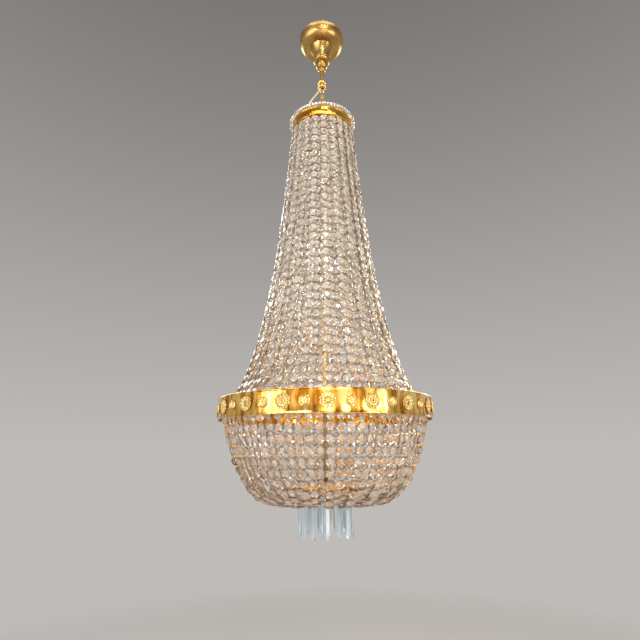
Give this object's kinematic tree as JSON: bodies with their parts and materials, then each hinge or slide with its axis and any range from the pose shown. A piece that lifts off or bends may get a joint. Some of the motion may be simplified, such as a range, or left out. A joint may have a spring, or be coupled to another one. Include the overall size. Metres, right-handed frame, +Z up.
{
  "type": "crystal chandelier",
  "caption": "Hanging crystal chandelier: a flared cone and a round basket of octagon strings on a gilt band, with swinging prisms, hung by hook and link from a sliding canopy.",
  "frame": {"origin": "middle of the ceiling face of the bracket; everything hangs below it", "axes": "+Z up along the stem and tube, -Y towards the front large rosette"},
  "size_m": [0.5, 0.5004, 1.3741],
  "materials": {
    "gilt_brass": "polished gilding, warm yellow",
    "plated_steel": "plain zinc plate, hidden",
    "terminal_plastic": "moulded",
    "cable_sheath": "smooth sheath, pale gold brown",
    "crystal": "cut and polished crystal octagons",
    "prism_crystal": "cut and polished crystal bars",
    "bulb_glass": "clear candle bulbs, unlit"
  },
  "bodies": {
    "ceiling_mount": {"ceiling_bracket": "plated_steel", "bracket_nut": "plated_steel", "terminal_block": "terminal_plastic", "suspension_stem": "gilt_brass", "stem_hook": "gilt_brass"},
    "canopy": {"canopy_dish": "gilt_brass", "canopy_bell": "gilt_brass", "canopy_collar": "gilt_brass", "collar_screw": "plated_steel"},
    "link": {"hanging_link": "gilt_brass"},
    "chandelier": {"crown_bail": "gilt_brass", "crown_spider": "gilt_brass", "crown_hoop": "gilt_brass", "crown_beads": "crystal", "central_tube": "gilt_brass", "tube_nuts": "gilt_brass", "finial": "gilt_brass", "band_hoop": "gilt_brass", "string_ring": "gilt_brass", "band_spider": "gilt_brass", "large_rosettes": "gilt_brass", "small_rosettes": "gilt_brass", "lamp_holders": "gilt_brass", "bulbs": "bulb_glass", "lower_ring": "gilt_brass", "lower_plate": "gilt_brass", "supply_cable": "cable_sheath", "cone_strings_front": "crystal", "basket_strings_front": "crystal", "cone_strings_rear_right": "crystal", "basket_strings_rear_right": "crystal", "cone_strings_rear_left": "crystal", "basket_strings_rear_left": "crystal"},
    "hanging_prism_01": {"prism_01": "prism_crystal", "prism_loop_01": "gilt_brass"},
    "hanging_prism_02": {"prism_02": "prism_crystal", "prism_loop_02": "gilt_brass"},
    "hanging_prism_03": {"prism_03": "prism_crystal", "prism_loop_03": "gilt_brass"},
    "hanging_prism_04": {"prism_04": "prism_crystal", "prism_loop_04": "gilt_brass"},
    "hanging_prism_05": {"prism_05": "prism_crystal", "prism_loop_05": "gilt_brass"},
    "hanging_prism_06": {"prism_06": "prism_crystal", "prism_loop_06": "gilt_brass"},
    "hanging_prism_07": {"prism_07": "prism_crystal", "prism_loop_07": "gilt_brass"},
    "hanging_prism_08": {"prism_08": "prism_crystal", "prism_loop_08": "gilt_brass"},
    "hanging_prism_09": {"prism_09": "prism_crystal", "prism_loop_09": "gilt_brass"},
    "hanging_prism_10": {"prism_10": "prism_crystal", "prism_loop_10": "gilt_brass"},
    "hanging_prism_11": {"prism_11": "prism_crystal", "prism_loop_11": "gilt_brass"},
    "hanging_prism_12": {"prism_12": "prism_crystal", "prism_loop_12": "gilt_brass"},
    "hanging_prism_13": {"prism_13": "prism_crystal", "prism_loop_13": "gilt_brass"}
  },
  "joints": [
    {"name": "canopy_slide", "type": "slide", "parent": "ceiling_mount", "child": "canopy", "axis": [0, 0, -1], "range_m": [0, 0.03]},
    {"name": "hook_swing", "type": "hinge", "parent": "ceiling_mount", "child": "link", "pos_m": [0, 0, -0.193], "axis": [1, 0, 0], "range_deg": [-10, 10]},
    {"name": "bail_swing", "type": "hinge", "parent": "link", "child": "chandelier", "pos_m": [0, 0, -0.2063], "axis": [0, 1, 0], "range_deg": [-10, 10]},
    {"name": "prism_swing_01", "type": "hinge", "parent": "chandelier", "child": "hanging_prism_01", "pos_m": [0, -0.058, -1.283], "axis": [-1, 0, 0], "range_deg": [-10, 40]},
    {"name": "prism_swing_02", "type": "hinge", "parent": "chandelier", "child": "hanging_prism_02", "pos_m": [0.02695, -0.05136, -1.283], "axis": [-0.8855, -0.4647, 0], "range_deg": [-10, 40]},
    {"name": "prism_swing_03", "type": "hinge", "parent": "chandelier", "child": "hanging_prism_03", "pos_m": [0.04773, -0.03295, -1.283], "axis": [-0.5681, -0.823, 0], "range_deg": [-10, 40]},
    {"name": "prism_swing_04", "type": "hinge", "parent": "chandelier", "child": "hanging_prism_04", "pos_m": [0.05758, -0.00699, -1.283], "axis": [-0.1205, -0.9927, 0], "range_deg": [-10, 40]},
    {"name": "prism_swing_05", "type": "hinge", "parent": "chandelier", "child": "hanging_prism_05", "pos_m": [0.05423, 0.02057, -1.283], "axis": [0.3546, -0.935, 0], "range_deg": [-10, 40]},
    {"name": "prism_swing_06", "type": "hinge", "parent": "chandelier", "child": "hanging_prism_06", "pos_m": [0.03846, 0.04341, -1.283], "axis": [0.7485, -0.6631, 0], "range_deg": [-10, 40]},
    {"name": "prism_swing_07", "type": "hinge", "parent": "chandelier", "child": "hanging_prism_07", "pos_m": [0.01388, 0.05631, -1.283], "axis": [0.9709, -0.2393, 0], "range_deg": [-10, 40]},
    {"name": "prism_swing_08", "type": "hinge", "parent": "chandelier", "child": "hanging_prism_08", "pos_m": [-0.01388, 0.05631, -1.283], "axis": [0.9709, 0.2393, 0], "range_deg": [-10, 40]},
    {"name": "prism_swing_09", "type": "hinge", "parent": "chandelier", "child": "hanging_prism_09", "pos_m": [-0.03846, 0.04341, -1.283], "axis": [0.7485, 0.6631, 0], "range_deg": [-10, 40]},
    {"name": "prism_swing_10", "type": "hinge", "parent": "chandelier", "child": "hanging_prism_10", "pos_m": [-0.05423, 0.02057, -1.283], "axis": [0.3546, 0.935, 0], "range_deg": [-10, 40]},
    {"name": "prism_swing_11", "type": "hinge", "parent": "chandelier", "child": "hanging_prism_11", "pos_m": [-0.05758, -0.00699, -1.283], "axis": [-0.1205, 0.9927, 0], "range_deg": [-10, 40]},
    {"name": "prism_swing_12", "type": "hinge", "parent": "chandelier", "child": "hanging_prism_12", "pos_m": [-0.04773, -0.03295, -1.283], "axis": [-0.5681, 0.823, 0], "range_deg": [-10, 40]},
    {"name": "prism_swing_13", "type": "hinge", "parent": "chandelier", "child": "hanging_prism_13", "pos_m": [-0.02695, -0.05136, -1.283], "axis": [-0.8855, 0.4647, 0], "range_deg": [-10, 40]}
  ]
}
